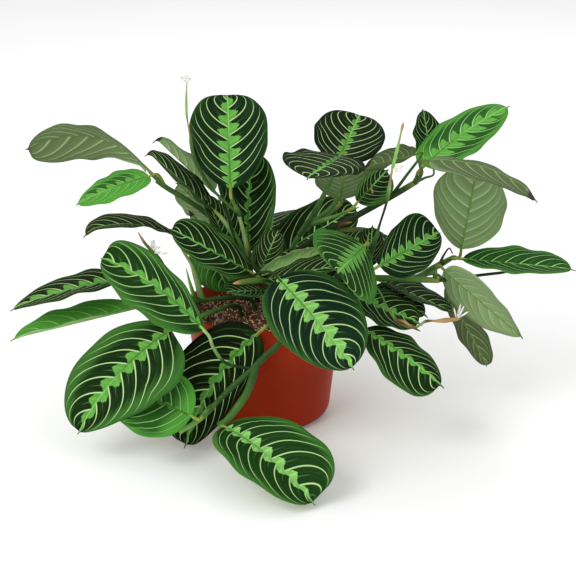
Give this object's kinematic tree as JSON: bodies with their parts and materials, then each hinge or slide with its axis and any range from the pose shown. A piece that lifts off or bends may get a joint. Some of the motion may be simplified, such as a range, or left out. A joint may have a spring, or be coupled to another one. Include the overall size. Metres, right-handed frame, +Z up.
{
  "type": "potted prayer plant",
  "caption": "Potted prayer plant: broad patterned oval leaves on arching stalks and creeping shoots, in a tapered plastic nursery pot filled with soil.",
  "frame": {"origin": "middle of the flat pad on the pot's foot, on the surface that the pot stands on", "axes": "+Z up along the pot's axis; -Y is the front that the picture shows; +X is to the right seen from the front"},
  "size_m": [0.5467, 0.4177, 0.3462],
  "materials": {
    "pot_plastic": "satin terracotta red",
    "coir_soil": "loose moist crumbs and chips",
    "leaf_blade": "velvety dark green with lime midrib band and pale veins, grey-green beneath",
    "green_stem": "smooth green with beige sheaths",
    "petal": "thin white petals"
  },
  "bodies": {
    "root": {"pot": "pot_plastic", "soil": "coir_soil", "back_shoot": "green_stem", "bloom_1": "petal", "bloom_2": "petal", "bloom_3": "petal", "bloom_4": "petal", "crown_shoot": "green_stem", "front_left_shoot": "green_stem", "front_shoot": "green_stem", "inner_left_shoot": "green_stem", "leaf_back_1": "leaf_blade", "leaf_back_2": "leaf_blade", "leaf_back_3": "leaf_blade", "leaf_back_4": "leaf_blade", "leaf_crown_1": "leaf_blade", "leaf_crown_2": "leaf_blade", "leaf_crown_3": "leaf_blade", "leaf_crown_4": "leaf_blade", "leaf_crown_5": "leaf_blade", "leaf_front_1": "leaf_blade", "leaf_front_2": "leaf_blade", "leaf_front_3": "leaf_blade", "leaf_front_4": "leaf_blade", "leaf_front_left_1": "leaf_blade", "leaf_inner_left_1": "leaf_blade", "leaf_inner_left_2": "leaf_blade", "leaf_left_1": "leaf_blade", "leaf_left_2": "leaf_blade", "leaf_low_left_1": "leaf_blade", "leaf_low_left_2": "leaf_blade", "leaf_low_left_3": "leaf_blade", "leaf_right_1": "leaf_blade", "leaf_right_2": "leaf_blade", "leaf_right_3": "leaf_blade", "leaf_right_4": "leaf_blade", "leaf_right_5": "leaf_blade", "leaf_right_6": "leaf_blade", "leaf_right_7": "leaf_blade", "leaf_right_8": "leaf_blade", "leaf_right_9": "leaf_blade", "leaf_upper_1": "leaf_blade", "leaf_upper_2": "leaf_blade", "leaf_upper_3": "leaf_blade", "leaf_upper_4": "leaf_blade", "leaf_upper_left_1": "leaf_blade", "leaf_upper_left_2": "leaf_blade", "leaf_upper_left_3": "leaf_blade", "leaf_upper_left_4": "leaf_blade", "leaf_upper_right_1": "leaf_blade", "leaf_upper_right_2": "leaf_blade", "leaf_upper_right_3": "leaf_blade", "leaf_upper_right_4": "leaf_blade", "leaf_upper_right_5": "leaf_blade", "left_shoot": "green_stem", "low_left_shoot": "green_stem", "right_shoot": "green_stem", "upper_left_shoot": "green_stem", "upper_right_shoot": "green_stem", "upper_shoot": "green_stem"}
  },
  "joints": []
}
